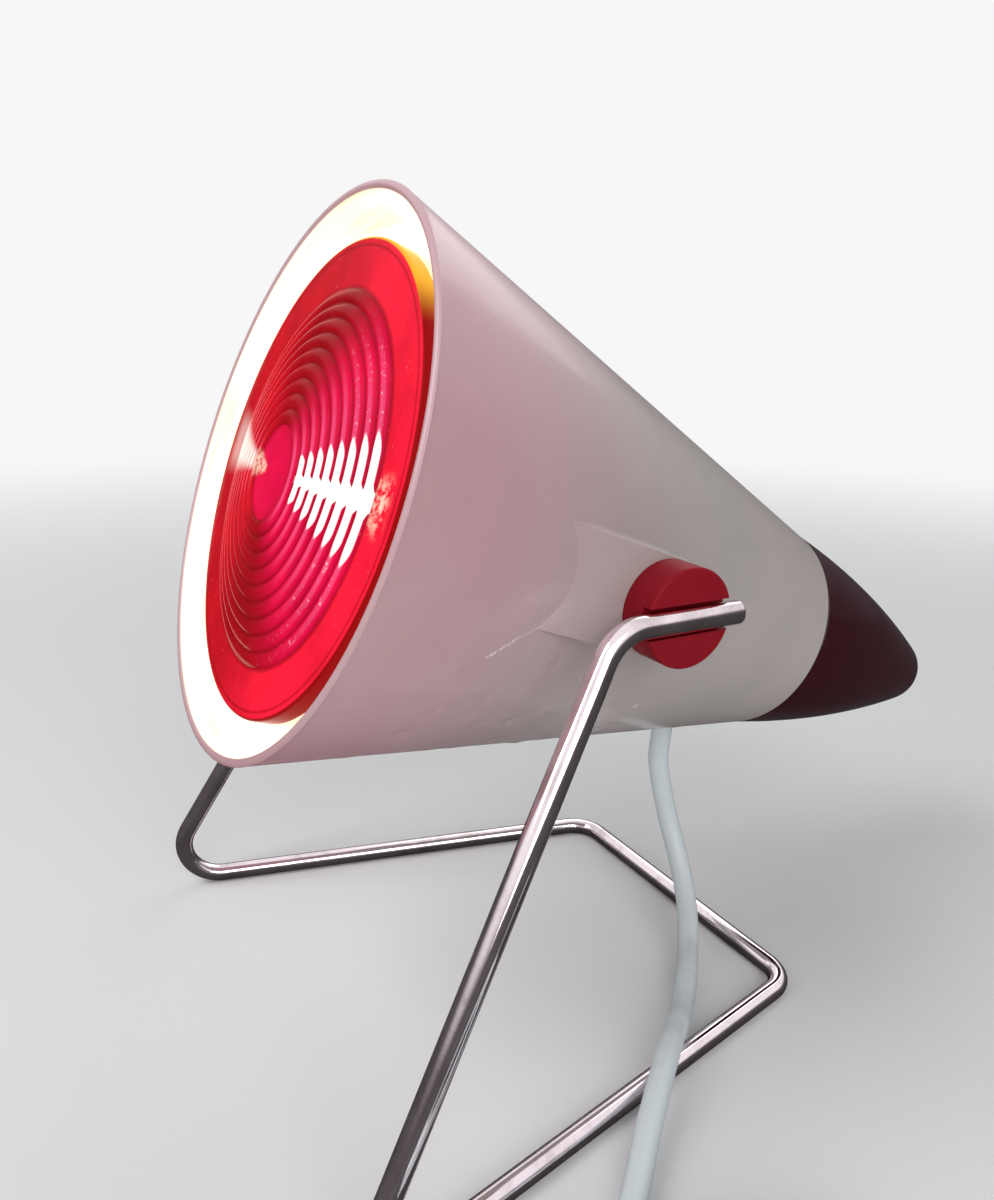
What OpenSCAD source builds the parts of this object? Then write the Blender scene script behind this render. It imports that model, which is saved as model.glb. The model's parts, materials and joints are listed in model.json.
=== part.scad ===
// Infrared heat therapy lamp: a conical moulded shade with a screwed-in reflector bulb, a dark rear
// cap, and a bent wire stand whose two sprung ends lie in the slots of the side knobs.
// +Z is up, the mouth of the shade faces -Y and looks up by head_tilt, and the near side is +X.
// The origin is on the table, below the middle of the lamp without its cord.

/* [Stand wire] */
// Diameter of the bent wire
wire_d = 6; // [4:0.5:7]
// Height of the pivot above the table
pivot_h = 135; // [128:1:170]
// Half distance between the two front corners of the floor loop
front_half_w = 94; // [90:1:120]
// Half distance between the two rear corners of the floor loop
rear_half_w = 57; // [45:1:80]
// From the pivot forward to the front corners
front_reach = 98.5; // [80:0.5:130]
// From the pivot back to the rear bar
rear_reach = 65; // [45:1:110]
// From the pivot forward to the top bend of each arm
arm_bend_reach = 21; // [19:0.5:30]
// From the pivot back to the cut end of the wire
tip_reach = 14.4; // [13:0.1:30]
// Bend radius at the top of each arm, on the wire's centre line
top_bend_r = 13; // [10:0.5:14]
// Bend radius at the front corners, on the centre line
front_bend_r = 13; // [9:0.5:20]
// Bend radius at the rear corners, on the centre line
rear_bend_r = 11; // [9:0.5:20]
// Chamfer on the cut ends of the wire
wire_end_chamfer = 0.6; // [0.2:0.1:1]

/* [Shade] */
// Angle by which the mouth looks up in the photographed pose
head_tilt = 20.6; // [5:0.1:30]
// Outer radius of the mouth
mouth_r = 72.3; // [70:0.1:80]
// From the pivot forward to the mouth
mouth_reach = 78.4; // [76:0.1:95]
// Outer radius where the shade meets the rear cap
joint_r = 34.2; // [33.8:0.1:38]
// From the pivot back to the joint with the rear cap
joint_reach = 91.2; // [91:0.1:96]
// Wall thickness of the shade
shade_wall = 2.4; // [1.6:0.1:3]
// Length of the neck that the rear cap is pushed over
neck_len = 8; // [6:0.5:12]
// Wall thickness of the neck
neck_wall = 2.2; // [1.6:0.1:2.4]
// Inner radius of the flange that carries the lamp holder
flange_r = 23.4; // [22.5:0.1:23.8]
// Thickness of that flange
flange_t = 2.5; // [2:0.1:3]
// From the joint forward to the front of the flange
flange_inset = 6.9; // [5.2:0.1:7.2]

/* [Rear cap] */
// Length of the rear cap from the joint to its nose
cap_len = 92.3; // [80:0.1:110]
// Wall thickness of the cap
cap_wall = 2.4; // [1.6:0.1:2.8]
// Radius of the rounded nose
nose_r = 12.9; // [10:0.1:15]
// Inward slope of the cap's side at the joint, in degrees
cap_slope = 8.3; // [5:0.1:9]
// Shadow gap between the shade and the cap
cap_gap = 0.5; // [0.3:0.1:1]

/* [Pivots] */
// Diameter of the side knobs
knob_d = 24.5; // [20:0.5:25]
// From the middle of the lamp to the face of each knob, which is also the wire's middle
knob_face_x = 71; // [69:0.5:76]
// From the middle of the lamp to the flat pad under each knob
pad_x = 61; // [58.5:0.1:62]
// Diameter of the boss moulded in the shade, which is also the width of its flat pad
boss_d = 25.5; // [24:0.5:27]
// From the middle of the lamp to the inner face of the boss
boss_inner_x = 48.5; // [47:0.1:50]
// Diameter of the knob's spigot, which is the pivot shaft
spigot_d = 10; // [8:0.5:12]
// Radial running clearance of the pivot
pivot_clear = 0.05; // [0.02:0.01:0.1]
// Rounding of the knob's outer edge
knob_edge_r = 0.8; // [0.3:0.1:1.5]
// Thickness of the fibre friction washer
friction_washer_t = 1; // [0.6:0.1:1.6]
// Outer diameter of the washers on the spigot
washer_d = 18; // [15:0.5:20]
// Thickness of the steel of the disc spring
disc_spring_t = 0.6; // [0.4:0.1:0.8]
// Height of the dished disc spring
disc_spring_h = 1.2; // [1:0.1:1.6]
// Thickness of the steel retaining washer
retaining_washer_t = 1.2; // [0.8:0.1:1.6]
// Diameter of the screw that holds the washers
pivot_screw_d = 4; // [3:0.5:4.5]
// Length of that screw's shank
pivot_screw_len = 16; // [12:1:20]

/* [Bulb] */
// Diameter of the sealed reflector bulb
bulb_d = 121; // [110:1:121]
// Length of the bulb from its lens to its contact
bulb_len = 135; // [133:0.5:136]
// How far the lens rim lies inside the mouth
bulb_recess = 4.8; // [3:0.1:7]
// How far the middle of the lens stands forward of its rim
lens_dome = 2.5; // [1:0.1:3]
// Number of raised rings pressed in the lens
lens_rings = 9; // [5:1:12]
// Height of the raised rings
lens_ring_h = 1.1; // [0.5:0.1:1.6]
// Radius of the plain middle of the lens
lens_eye_r = 6.5; // [4:0.5:9]
// Radius where the rings end and the plain outer band begins
lens_ring_end_r = 45; // [38:0.5:48]
// Glass thickness
glass_t = 3; // [2:0.1:4]
// Depth of the straight sealing band behind the lens rim
seal_depth = 12; // [8:0.5:14]
// Radius of the bulb's neck behind the reflector
bulb_neck_r = 20; // [18:0.5:21]
// Radius where the neck enters the metal screw shell
bulb_foot_r = 16.5; // [15:0.5:18]
// Outer radius of the metal screw shell
screw_shell_r = 13.2; // [13:0.05:13.2]
// Length of the metal screw shell
screw_shell_len = 25; // [22:0.5:26]
// Radius of the filament arc
filament_r = 9; // [6:0.5:12]

/* [Lamp holder] */
// Outer radius of the lamp holder
holder_r = 19.5; // [18:0.5:20]
// Thickness of the brass screw sleeve
sleeve_t = 0.5; // [0.4:0.1:0.6]
// Clearance between the bulb's screw shell and the sleeve
thread_clear = 0.2; // [0.1:0.05:0.3]
// Thickness of the steel strip that carries the holder
bracket_t = 1.5; // [1:0.1:2]
// Width of that strip
bracket_w = 14; // [12:0.5:15]
// From the middle to each screw that holds the strip to the flange
bracket_screw_x = 26.4; // [26:0.1:26.6]
// From the middle to each screw that holds the holder to the strip
holder_screw_x = 12; // [10:0.5:14]
// Diameter of the small screws
small_screw_d = 3; // [2.5:0.1:3.2]
// From the middle to each terminal screw
terminal_x = 9; // [7:0.5:10]
// Distance of the terminal screws below the middle
terminal_drop = 12.5; // [12:0.1:13]
// Outer radius of the insulated leads
lead_r = 1.1; // [0.8:0.1:1.3]

/* [Cord] */
// Diameter of the mains cord
cord_d = 6.8; // [5.5:0.1:7]
// From the joint forward to the cord's hole in the underside of the shade
cord_hole_inset = 19.2; // [17.2:0.1:21.2]
// Radial clearance of the cord in its bush
bush_clear = 0.1; // [0.05:0.05:0.3]
// Radius of the bush's two collars
bush_collar_r = 6.2; // [5.8:0.1:7]
// Radius of the middle turns of the coil
coil_r = 40.8; // [38:0.1:42]
// Cord diameters across the coil's width
coil_wide = 3; // [2:1:4]
// Cord diameters up the coil's height
coil_high = 2; // [1:1:3]
// Width of the tie round the coil
tie_w = 8; // [5:0.5:12]
// Thickness of the tie
tie_t = 0.8; // [0.5:0.1:1.2]

/* [Plug] */
// Width of the flat two-pin plug
plug_w = 35.3; // [32:0.1:37]
// Thickness of the plug
plug_t = 13.7; // [12:0.1:15]
// Length of the plug's body
plug_len = 36; // [30:1:42]
// Diameter of the pins
pin_d = 4; // [3.8:0.1:4.8]
// Length of the pins in front of the plug's face
pin_len = 19; // [17:0.5:20]
// Distance between the pins
pin_pitch = 18.6; // [18:0.1:19.2]
// Length of the ribbed boot where the cord enters the plug
boot_len = 28; // [20:1:40]

/* [Hidden] */
$fn = 72;
wire_r = wire_d / 2;
cord_r = cord_d / 2;
shade_slope = atan((mouth_r - joint_r) / (mouth_reach + joint_reach));
shade_skin = shade_wall / cos(shade_slope);
rim_r = shade_wall / 2;
lap = 0.05;
flange_reach = joint_reach - flange_inset;
cord_hole_reach = joint_reach - cord_hole_inset;
// Front and rear of the lamp without its cord, seen from the pivot
front_y = (mouth_reach - rim_r) * cos(head_tilt) + (mouth_r - rim_r) * sin(head_tilt) + rim_r;
nose_reach = joint_reach + cap_len - nose_r;
rear_y = nose_reach * cos(head_tilt) + nose_r;
pivot = [0, (front_y - rear_y) / 2, pivot_h];
neck_r = joint_r - 2.8;
neck_clear = 0.1;
bead_r = 0.6;
bead_reach = joint_reach + neck_len / 2;
// The cap's side runs into its nose where the nose has turned by this angle
nose_turn = 21;
nose_centre = cap_len - nose_r;
nose_start = nose_centre + nose_r * sin(nose_turn);
nose_edge_r = nose_r * cos(nose_turn);
cap_bow = (joint_r - tan(cap_slope) * nose_start - nose_edge_r) / (nose_start * nose_start);

knob_seat_gap = 0.1;
slot_w = wire_d + 1.6;
// The pad runs forward until even its two edges have gone under the widening cone
pad_end = mouth_reach - (mouth_r - sqrt(pad_x * pad_x + boss_d * boss_d / 4)) / tan(shade_slope) + 2;
spigot_end_x = boss_inner_x - friction_washer_t - disc_spring_h + 0.3;
washer_bore_d = spigot_d + 0.2;
screw_head_h = 3;

lens_z = mouth_reach - bulb_recess;
bulb_back_z = lens_z + lens_dome - bulb_len;
contact_h = 3;
shell_back_z = bulb_back_z + contact_h;
shell_front_z = shell_back_z + screw_shell_len;
bulb_r = bulb_d / 2;
reflector_len = lens_z - shell_front_z - 14;
filament_ahead = 34;
filament_z = lens_z - reflector_len + filament_ahead;
sleeve_r = screw_shell_r + thread_clear;
holder_front_z = shell_front_z - 1.4;
holder_back_z = -flange_reach + bracket_t;
holder_floor_z = bulb_back_z - 3.2;
tongue_z = bulb_back_z - 0.1;
small_head_r = 2.5;
small_head_h = 2.2;
small_screw_len = 8;
small_bore_r = small_screw_d / 2 + 0.05;

exit_r = shade_r(-cord_hole_reach);
inner_cord_len = 13;
bush_collar_t = 1.2;
bush_body_r = cord_r + bush_clear + 1.1;
inner_collar_r = bush_body_r + 1;
inner_collar_z = -shade_wall - 0.6 - bush_collar_t;
clamp_w = 18;
clamp_screw_x = 6.6;

// The cord from its exit to the coil: straight down, onto the table, over the near floor wire
CORD_ROUTE = [[0, 16.7, 72.1], [0, 16.1, 66], [0, 15.9, 58], [1.5, 17.5, 47], [4, 19, 37], [9, 19.3, 27.5],
    [16, 17.5, 19], [24.5, 13.2, 12], [34, 6, 6.8], [44, -2.7, 4.6], [53.5, -12.2, 5.2], [62.2, -21.6, 8.1],
    [70.3, -31, 9.9], [79, -41, 9.2], [88, -51.4, 6.8], [98, -62.2, 4.4], [108, -73, 3.4],
    [117, -83, 3.4], [126, -92.8, 3.4], [133.8, -101.2, 3.4]];
COIL_CENTRE = [169.5, -69.8];
// The cord's last stretch, from the top of the coil down beside it and into the plug
TAIL_ROUTE = [[142, -108.7, 10.2], [150.5, -114.8, 10.2], [160.5, -119.9, 9.6], [171, -122.9, 8.1],
    [182, -123.3, 5.8], [193, -119.8, 4.2], [203, -113.4, 3.5], [212, -104.6, 3.4], [219.4, -92.4, 3.4],
    [223.6, -79.6, 3.4], [224.2, -67, 3.7], [222.4, -55.6, 4.4], [219.9, -45.8, 5.5], [218.2, -37.6, 6.4],
    [217.6, -30, 6.85]];
plug_seat = TAIL_ROUTE[len(TAIL_ROUTE) - 1];
pin_root = 12;
pin_root_d = pin_d - 1;
pin_chamfer = 1;

// ---- Geometry shared by several pieces ----

function unit(v) = v / norm(v);

// Outer radius of the shade's cone at a place z along the head's axis, forward of the pivot
function shade_r(z) = mouth_r - (mouth_reach - z) * tan(shade_slope);

// Half the angle between the two legs that meet at point b
function half_angle(a, b, c) = acos(unit(a - b) * unit(c - b)) / 2;

// Points round the bend at b of a wire that runs a, b, c, on an arc of radius r
function bend_points(a, b, c, r, steps) = let (
        half = half_angle(a, b, c), leg = unit(a - b),
        o = b + unit(leg + unit(c - b)) * r / sin(half),
        out = unit(b + leg * r / tan(half) - o))
    [for (i = [0:steps]) let (turn = (180 - 2 * half) * i / steps) o + r * (out * cos(turn) - leg * sin(turn))];

// The centre line of a wire bent at every inner point of the list, each with its own radius
function bent_path(points, radii, steps) = concat([points[0]],
    [for (i = [1:len(points) - 2])
        each bend_points(points[i - 1], points[i], points[i + 1], radii[i - 1], steps)],
    [points[len(points) - 1]]);

// A round wire swept along a path. The ring's first corner keeps its side of the wire without a
// twist, because each ring's side is the last one's with its part along the wire taken off.
module swept_wire(path, r, side, sides, chamfer = 0) {
    last = len(path) - 1;
    along = [for (i = [0:last]) unit(path[min(i + 1, last)] - path[max(i - 1, 0)])];
    across = [for (i = 0, s = unit(side - (side * along[0]) * along[0]); i <= last;
        i = i + 1, s = i > last ? s : unit(s - (s * along[i]) * along[i])) s];
    corners = [for (i = [0:last]) let (s = across[i], u = cross(along[i], s),
            ring_r = i == 0 || i == last ? r - chamfer : r)
        for (k = [0:sides - 1]) path[i] + ring_r * (cos(360 * k / sides) * s + sin(360 * k / sides) * u)];
    walls = [for (i = [0:last - 1]) for (k = [0:sides - 1]) let (
            a = i * sides + k, b = i * sides + (k + 1) % sides)
        for (f = [[a, b + sides, b], [a, a + sides, b + sides]]) f];
    polyhedron(corners, concat([[for (k = [0:sides - 1]) k]], walls,
        [[for (k = [sides - 1:-1:0]) last * sides + k]]));
}

// A smooth curve through hand-chosen points, steps pieces between each two of them
function spline_at(p, i, t) = let (a = p[max(i - 1, 0)], b = p[i], c = p[i + 1], d = p[min(i + 2, len(p) - 1)])
    0.5 * (2 * b + (c - a) * t + (2 * a - 5 * b + 4 * c - d) * t * t + (3 * b - a - 3 * c + d) * t * t * t);
function spline(p, steps) = concat([for (i = [0:len(p) - 2]) for (k = [0:steps - 1]) spline_at(p, i, k / steps)],
    [p[len(p) - 1]]);

// The head's own frame: origin on the pivot axis, +Z towards the mouth, +X as the lamp's
module in_head() {
    translate(pivot) rotate([90 - head_tilt, 0, 0]) children();
}

// A frame at the cord's hole: origin on the shade's outer skin, +Z straight out of it
module at_cord_exit() {
    translate([0, -exit_r, -cord_hole_reach]) rotate([90 + shade_slope, 0, 0]) children();
}

// One side's pivot frame: origin in the middle of the lamp, +Z outwards along the pivot axis
module on_pivot(side) {
    translate(pivot) rotate([0, 90 * side, 0]) children();
}

// A pan-head screw whose head sits on z = 0 and whose shank points to -Z
module pan_screw(d, length, head_r, head_h) {
    translate([0, 0, -length]) cylinder(d = d, h = length + head_h / 2);
    rotate_extrude() intersection() {
        square([head_r, head_h]);
        translate([0, head_h - 1.8 * head_r]) circle(r = 1.8 * head_r);
    }
}

// ---- Stand ----

module wire_stand() {
    function corner(side, half_w, y) = [side * half_w, pivot.y + y, wire_r];
    function arm_top(side, y) = [side * knob_face_x, pivot.y + y, pivot.z];
    bends = bent_path([arm_top(1, tip_reach - wire_end_chamfer), arm_top(1, -arm_bend_reach),
            corner(1, front_half_w, -front_reach), corner(1, rear_half_w, rear_reach),
            corner(-1, rear_half_w, rear_reach), corner(-1, front_half_w, -front_reach),
            arm_top(-1, -arm_bend_reach), arm_top(-1, tip_reach - wire_end_chamfer)],
        [top_bend_r, front_bend_r, rear_bend_r, rear_bend_r, front_bend_r, top_bend_r], 10);
    color("silver") swept_wire(concat([arm_top(1, tip_reach)], bends, [arm_top(-1, tip_reach)]),
        wire_r, [0, 0, 1], 20, wire_end_chamfer);
}

module knob(side) {
    color("crimson") on_pivot(side) difference() {
        union() {
            translate([0, 0, pad_x + knob_seat_gap]) rotate_extrude() union() {
                square([knob_d / 2 - knob_edge_r, knob_face_x - pad_x - knob_seat_gap]);
                square([knob_d / 2, knob_face_x - pad_x - knob_seat_gap - knob_edge_r]);
                translate([knob_d / 2 - knob_edge_r, knob_face_x - pad_x - knob_seat_gap - knob_edge_r])
                    circle(r = knob_edge_r, $fn = 24);
            }
            translate([0, 0, spigot_end_x]) cylinder(d = spigot_d, h = knob_face_x - wire_r - 1 - spigot_end_x);
        }
        translate([-slot_w / 2, -knob_d, knob_face_x - wire_r - lap]) cube([slot_w, 2 * knob_d, knob_d]);
        translate([0, 0, spigot_end_x - 1])
            cylinder(d = pivot_screw_d + 0.1, h = pivot_screw_len - retaining_washer_t + 1.5);
    }
}

module friction_washer(side) {
    color("saddlebrown") on_pivot(side) translate([0, 0, boss_inner_x - lap - friction_washer_t]) difference() {
        cylinder(d = washer_d, h = friction_washer_t);
        translate([0, 0, -1]) cylinder(d = washer_bore_d, h = friction_washer_t + 2);
    }
}

module disc_spring(side) {
    rise = disc_spring_h - disc_spring_t;
    color("slategray") on_pivot(side)
        translate([0, 0, boss_inner_x - 2 * lap - friction_washer_t - disc_spring_h]) rotate_extrude()
            polygon([[washer_bore_d / 2, rise], [washer_bore_d / 2, disc_spring_h],
                [washer_d / 2, disc_spring_t], [washer_d / 2, 0]]);
}

module retaining_washer(side) {
    color("lightgray") on_pivot(side)
        translate([0, 0, boss_inner_x - 3 * lap - friction_washer_t - disc_spring_h - retaining_washer_t])
            difference() {
                cylinder(d = washer_d - 2, h = retaining_washer_t);
                translate([0, 0, -1]) cylinder(d = pivot_screw_d + 0.4, h = retaining_washer_t + 2);
            }
}

module pivot_screw(side) {
    color("gainsboro") on_pivot(side)
        translate([0, 0, boss_inner_x - 4 * lap - friction_washer_t - disc_spring_h - retaining_washer_t])
            rotate([180, 0, 0]) pan_screw(pivot_screw_d, pivot_screw_len, 4, screw_head_h);
}

// ---- Head ----

module shade_profile() {
    union() {
        polygon([[shade_r(-flange_reach) - shade_skin, -flange_reach],
            [mouth_r - shade_skin, mouth_reach - rim_r], [mouth_r, mouth_reach - rim_r],
            [joint_r, -joint_reach], [neck_r, -joint_reach],
            [neck_r, -joint_reach - neck_len], [neck_r - neck_wall, -joint_reach - neck_len],
            [neck_r - neck_wall, -flange_reach - flange_t], [flange_r, -flange_reach - flange_t],
            [flange_r, -flange_reach]]);
        translate([mouth_r - shade_skin / 2, mouth_reach - rim_r]) circle(r = shade_skin / 2, $fn = 32);
        translate([neck_r, -bead_reach]) circle(r = bead_r, $fn = 24);
    }
}

// The raised pad of one pivot: a round boss behind, and level sides that run forward into the cone, so
// that it draws from the mould. The cut keeps it out of the shade's inside.
module pivot_pad(side) {
    rotate([0, 90 * side, 0]) translate([0, 0, boss_inner_x]) cylinder(d = boss_d, h = pad_x - boss_inner_x);
    difference() {
        translate([side > 0 ? 0 : -pad_x, -boss_d / 2, 0]) cube([pad_x, boss_d, pad_end]);
        translate([0, 0, -1])
            cylinder(r1 = shade_r(-1) - shade_skin / 2, r2 = shade_r(pad_end + 1) - shade_skin / 2, h = pad_end + 2);
    }
}

module shade() {
    color("white") in_head() difference() {
        union() {
            rotate_extrude($fn = 144) shade_profile();
            for (side = [-1, 1]) pivot_pad(side);
            at_cord_exit() translate([-clamp_w / 2, cord_r + 1, -inner_cord_len])
                cube([clamp_w, 3, inner_cord_len - shade_wall / 2]);
        }
        for (side = [-1, 1]) rotate([0, 90 * side, 0]) translate([0, 0, boss_inner_x - 1])
            cylinder(r = spigot_d / 2 + pivot_clear, h = pad_x - boss_inner_x + 2);
        for (side = [-1, 1]) translate([side * bracket_screw_x, 0, -flange_reach - flange_t - 1])
            cylinder(d = small_screw_d + 0.6, h = flange_t + 2, $fn = 32);
        at_cord_exit() translate([0, 0, -shade_wall - 2]) cylinder(r = bush_body_r + lap, h = shade_wall + 4);
        at_cord_exit() translate([0, 0, inner_collar_z - lap])
            cylinder(r = inner_collar_r + lap, h = bush_collar_t + 2 * lap);
        for (side = [-1, 1]) at_cord_exit() translate([side * clamp_screw_x, cord_r, 4 - inner_cord_len])
            rotate([-90, 0, 0]) cylinder(r = small_bore_r, h = 6, $fn = 32);
    }
}

// Outer radius of the cap at a distance s behind the joint: it starts at the slope cap_slope and
// curves in evenly until it runs into the nose
function cap_r(s) = joint_r - tan(cap_slope) * s - cap_bow * s * s;

module cap_profile(inset) {
    side_steps = 16;
    nose_steps = 12;
    from = inset > 0 ? neck_len + cap_gap + inset : cap_gap;
    side = [for (i = [0:side_steps]) let (s = from + (nose_start - from) * i / side_steps)
        [cap_r(s) - inset, -joint_reach - s]];
    nose = [for (i = [1:nose_steps]) let (a = nose_turn + (90 - nose_turn) * i / nose_steps)
        [(nose_r - inset) * cos(a), -joint_reach - nose_centre - (nose_r - inset) * sin(a)]];
    polygon(concat([[0, -joint_reach - from]], side, nose));
}

module rear_cap() {
    color("maroon") in_head() rotate_extrude($fn = 144) difference() {
        cap_profile(0);
        cap_profile(cap_wall);
        translate([0, -joint_reach - neck_len - cap_gap - cap_wall - 1])
            square([neck_r + neck_clear, neck_len + cap_gap + cap_wall + 2]);
        translate([neck_r + neck_clear, -bead_reach]) circle(r = bead_r + 0.05, $fn = 24);
    }
}

module lamp_holder() {
    collar_from_back = 15.8;
    collar_len = 4;
    color("ivory") in_head() difference() {
        union() {
            translate([0, 0, holder_back_z]) cylinder(r = holder_r, h = holder_front_z - holder_back_z - 2);
            translate([0, 0, holder_front_z - 2]) cylinder(r1 = holder_r, r2 = holder_r - 1.2, h = 2);
            translate([0, 0, holder_back_z + collar_from_back]) cylinder(r = holder_r + 0.8, h = collar_len);
        }
        translate([0, 0, holder_floor_z])
            cylinder(r = sleeve_r + sleeve_t + 0.1, h = holder_front_z - holder_floor_z + 1);
        for (side = [-1, 1]) translate([side * holder_screw_x, 0, holder_back_z - 1])
            cylinder(r = small_bore_r, h = small_screw_len + 1.5, $fn = 32);
        for (side = [-1, 1]) translate([side * terminal_x, -terminal_drop, holder_back_z - 1])
            cylinder(r = small_bore_r, h = small_screw_len + 1.5, $fn = 32);
    }
}

module screw_sleeve() {
    sleeve_front_z = holder_front_z - 1.5;
    color("goldenrod") in_head() translate([0, 0, holder_floor_z + 2.4]) difference() {
        cylinder(r = sleeve_r + sleeve_t, h = sleeve_front_z - holder_floor_z - 2.4);
        translate([0, 0, -1]) cylinder(r = sleeve_r, h = sleeve_front_z - holder_floor_z);
    }
}

module centre_contact() {
    color("gold") in_head() union() {
        translate([-3, -10, holder_floor_z]) cube([6, 14, 0.6]);
        translate([0, 0, holder_floor_z]) cylinder(r = 3, h = tongue_z - holder_floor_z, $fn = 32);
    }
}

module holder_bracket() {
    color("silver") in_head() translate([0, 0, -flange_reach]) difference() {
        translate([-bracket_screw_x - 3, -bracket_w / 2, 0])
            cube([2 * bracket_screw_x + 6, bracket_w, bracket_t]);
        for (x = [-bracket_screw_x, -holder_screw_x, holder_screw_x, bracket_screw_x]) translate([x, 0, -1])
            cylinder(r = small_bore_r, h = bracket_t + 2, $fn = 32);
    }
}

module bracket_screws() {
    color("silver") in_head() for (side = [-1, 1])
        translate([side * bracket_screw_x, 0, -flange_reach - flange_t])
            rotate([180, 0, 0]) pan_screw(small_screw_d, flange_t + bracket_t + 0.5, small_head_r, small_head_h);
}

module holder_screws() {
    color("silver") in_head() for (side = [-1, 1]) translate([side * holder_screw_x, 0, -flange_reach])
        rotate([180, 0, 0]) pan_screw(small_screw_d, small_screw_len, small_head_r, small_head_h);
}

module terminal_screws() {
    color("gold") in_head() for (side = [-1, 1]) translate([side * terminal_x, -terminal_drop, holder_back_z])
        rotate([180, 0, 0]) pan_screw(small_screw_d, small_screw_len, small_head_r, small_head_h);
}

module lead(side) {
    run_y = -holder_r - 0.8 - lead_r - 0.5;
    turn_z = holder_back_z - small_head_h / 2;
    inward = [0, cos(shade_slope), sin(shade_slope)];
    start = [side * 1.7, -exit_r, -cord_hole_reach] + inner_cord_len * inward;
    corner = start + inward * (run_y - start.y) / inward.y;
    in_head() swept_wire(bent_path([start, corner, [side * terminal_x, run_y, turn_z],
        [side * terminal_x, -terminal_drop - small_head_r - 0.1, turn_z]], [1.6, 3], 6), lead_r, [1, 0, 0], 10);
}

module cord_bush() {
    color("white") in_head() at_cord_exit() difference() {
        union() {
            cylinder(r = bush_collar_r, h = bush_collar_t);
            translate([0, 0, inner_collar_z]) cylinder(r = bush_body_r, h = bush_collar_t - inner_collar_z);
            translate([0, 0, inner_collar_z]) cylinder(r = inner_collar_r, h = bush_collar_t);
        }
        translate([0, 0, -10]) cylinder(r = cord_r + bush_clear, h = 20);
    }
}

module cord_inner_end() {
    color("white") in_head() at_cord_exit() translate([0, 0, -inner_cord_len])
        cylinder(r = cord_r, h = inner_cord_len + bush_collar_t);
}

module cord_clamp() {
    saddle_w = 8;
    color("dimgray") in_head() at_cord_exit() difference() {
        translate([-clamp_w / 2, -cord_r - 1.5, -inner_cord_len + 0.5]) cube([clamp_w, 2 * cord_r + 2.4, saddle_w]);
        translate([0, 0, -inner_cord_len]) cylinder(r = cord_r + lap, h = saddle_w + 2);
        for (side = [-1, 1]) translate([side * clamp_screw_x, -cord_r - 3, 4 - inner_cord_len])
            rotate([-90, 0, 0]) cylinder(r = small_bore_r, h = 2 * cord_r + 6, $fn = 32);
    }
}

module clamp_screws() {
    color("silver") in_head() at_cord_exit() for (side = [-1, 1])
        translate([side * clamp_screw_x, -cord_r - 1.5, 4 - inner_cord_len])
            rotate([90, 0, 0]) pan_screw(small_screw_d, 2 * cord_r + 4.5, small_head_r, small_head_h);
}

// ---- Bulb ----

// Outer radius of the paraboloid reflector at a depth d behind the lens rim
bowl_k = ((bulb_r - 2) * (bulb_r - 2) - bulb_neck_r * bulb_neck_r) / (reflector_len - seal_depth);
function bowl_r(d) = sqrt(bulb_neck_r * bulb_neck_r + bowl_k * (reflector_len - d));

module bulb_lens() {
    rings_from = lens_eye_r;
    pitch = (lens_ring_end_r - rings_from) / lens_rings;
    steps = 6;
    function dome(r) = lens_dome * (1 - r * r / (bulb_r * bulb_r));
    ridges = [for (i = [0:lens_rings - 1]) for (k = [0:steps - 1]) let (t = k / steps, r = rings_from + (i + t) * pitch)
        [r, lens_z + dome(r) - lens_ring_h * (1 - sin(180 * t))]];
    color("red") in_head() rotate_extrude() union() {
        polygon(concat([[0, lens_z + dome(0) - lens_ring_h], [0, lens_z - 4], [bulb_r - glass_t, lens_z - 5],
            [bulb_r - 0.8, lens_z - 5], [bulb_r, lens_z - 4], [bulb_r, lens_z - 1.5], [bulb_r - 1.5, lens_z]],
            [for (i = [6:-1:0]) let (r = lens_ring_end_r + (bulb_r - 3 - lens_ring_end_r) * i / 6)
                [r, lens_z + dome(r) - lens_ring_h]],
            [for (i = [len(ridges) - 1:-1:0]) ridges[i]]));
    }
}

module bulb_reflector() {
    steps = 14;
    top = lens_z - 5.2;
    outer = [for (i = [0:steps]) let (d = seal_depth + (reflector_len - seal_depth) * i / steps)
        [bowl_r(d), lens_z - d]];
    inner = [for (i = [steps:-1:0]) let (d = seal_depth + (reflector_len - 6 - seal_depth) * i / steps)
        [bowl_r(d) - glass_t, lens_z - d]];
    color("silver") in_head() rotate_extrude() polygon(concat([[bulb_r - glass_t - 0.5, top],
        [bulb_r - 0.8, top], [bulb_r, top - 1], [bulb_r, lens_z - seal_depth + 1.5]], outer,
        [[bulb_foot_r, shell_front_z + 0.1], [0, shell_front_z + 0.1], [0, lens_z - reflector_len + 6]], inner));
}

module bulb_screw_shell() {
    color("lightgray") in_head() translate([0, 0, shell_back_z]) difference() {
        cylinder(r = screw_shell_r, h = screw_shell_len);
        translate([0, 0, -1]) cylinder(r = screw_shell_r - 0.4, h = screw_shell_len + 2);
    }
}

module bulb_insulator() {
    color("black") in_head() translate([0, 0, shell_back_z]) union() {
        cylinder(r = screw_shell_r - 0.45, h = 3);
        translate([0, 0, -contact_h + 0.8]) cylinder(r1 = 6, r2 = screw_shell_r - 0.45, h = contact_h - 0.8);
    }
}

module bulb_contact() {
    color("silver") in_head() translate([0, 0, bulb_back_z]) cylinder(r1 = 4, r2 = 4.8, h = 0.8);
}

module bulb_filament() {
    color("orange") in_head() translate([0, 0, filament_z]) rotate([0, 0, -60]) rotate_extrude(angle = 300)
        translate([filament_r, 0]) circle(r = 0.7, $fn = 24);
}

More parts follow.
